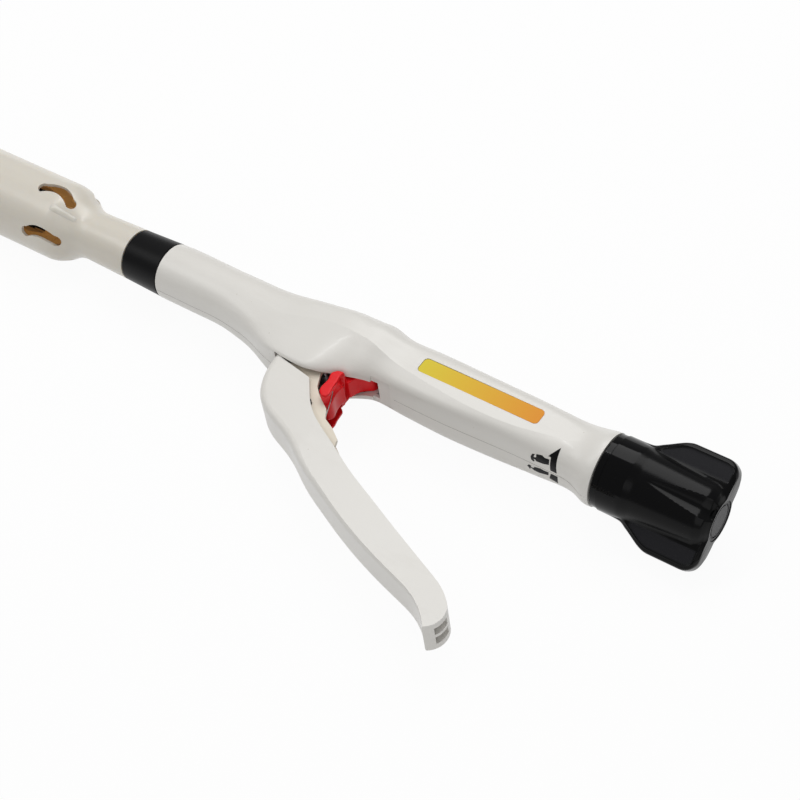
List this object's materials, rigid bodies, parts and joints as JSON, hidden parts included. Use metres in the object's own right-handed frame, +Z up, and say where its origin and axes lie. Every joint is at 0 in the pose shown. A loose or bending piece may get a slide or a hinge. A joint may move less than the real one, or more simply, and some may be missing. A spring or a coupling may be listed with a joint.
{
  "type": "circular haemorrhoid stapler",
  "caption": "Hand-held circular stapler: staple head with closing anvil, pistol lever with safety catch, and a wing knob that winds the anvil out and back.",
  "frame": {"origin": "on the instrument's axis at the front rim of the staple head casing", "axes": "+X along the axis from the staple head to the adjusting knob, the lever hangs towards -Y, +Z up; the instrument lies on its side and its handle shells part on z = 0"},
  "size_m": [0.3805, 0.1139, 0.034],
  "materials": {
    "white_abs": "satin moulded white ABS",
    "black_satin": "satin black",
    "cream_plastic": "slightly translucent cream, half gloss",
    "cartridge_plastic": "moulded",
    "titanium": "drawn wire",
    "bearing_plastic": "natural acetal",
    "spring_steel": "drawn wire",
    "label_orange": "yellow to orange film, bare",
    "steel": "turned stainless steel",
    "black_gloss": "glossy black",
    "grey_plastic": "satin grey",
    "brass": "turned",
    "washer_plastic": "soft white washer",
    "cream_core": "moulded cream",
    "black_oxide": "blackened",
    "driver_aluminium": "drawn tube",
    "tan_plastic": "tan moulded",
    "red_plastic": "half gloss red"
  },
  "bodies": {
    "handle": {"handle_shell_upper": "white_abs", "handle_shell_lower": "white_abs", "front_ring": "black_satin", "head_casing": "cream_plastic", "staple_cartridge": "cartridge_plastic", "staples": "titanium", "neck_bush": "bearing_plastic", "driver_return_spring": "spring_steel", "screw_guide": "bearing_plastic", "label_plate": "label_orange", "lever_pivot_pin": "steel", "catch_pivot_pin": "steel", "rear_bearing": "bearing_plastic"},
    "knob": {"knob": "black_gloss", "knob_end_cap": "grey_plastic", "screw_sleeve": "brass", "knob_grub_screws": "steel", "knob_retaining_clip": "spring_steel"},
    "rod": {"pull_rod": "steel", "lead_screw": "steel", "rod_cross_pin": "steel", "anvil_shaft": "steel", "anvil_base": "steel", "anvil_cap": "cream_plastic", "cutting_washer": "washer_plastic"},
    "lever": {"lever_shell": "white_abs", "lever_core": "cream_core", "lever_fork": "steel", "core_rivets": "black_oxide"},
    "driver": {"driver_tube": "driver_aluminium", "driver_collar": "bearing_plastic", "staple_pusher": "tan_plastic", "ring_knife": "steel"},
    "catch": {"safety_catch": "red_plastic", "catch_spring": "spring_steel"}
  },
  "joints": [
    {"name": "knob_turn", "type": "hinge", "parent": "handle", "child": "knob", "pos_m": [0.3154, 0, 0], "axis": [1, 0, 0], "range_deg": [0, 1440]},
    {"name": "rod_slide", "type": "slide", "parent": "handle", "child": "rod", "axis": [-1, 0, 0], "range_m": [0, 0.0402]},
    {"name": "lever_squeeze", "type": "hinge", "parent": "handle", "child": "lever", "pos_m": [0.195, -0.011, 0], "axis": [0, 0, 1], "range_deg": [0, 28], "stiffness_Nm_per_rad": 0.8, "springref_deg": -20.05},
    {"name": "driver_slide", "type": "slide", "parent": "handle", "child": "driver", "axis": [-1, 0, 0], "range_m": [0, 0.00832], "deforming": ["driver_return_spring"]},
    {"name": "catch_flip", "type": "hinge", "parent": "handle", "child": "catch", "pos_m": [0.2155, -0.007, 0], "axis": [0, 0, 1], "range_deg": [0, 45], "stiffness_Nm_per_rad": 0.02, "springref_deg": -34.38}
  ],
  "couplings": [
    {"joint": "knob_turn", "follows": "rod_slide", "rad_per_m": 625},
    {"joint": "driver_slide", "follows": "lever_squeeze", "m_per_rad": 0.017}
  ]
}
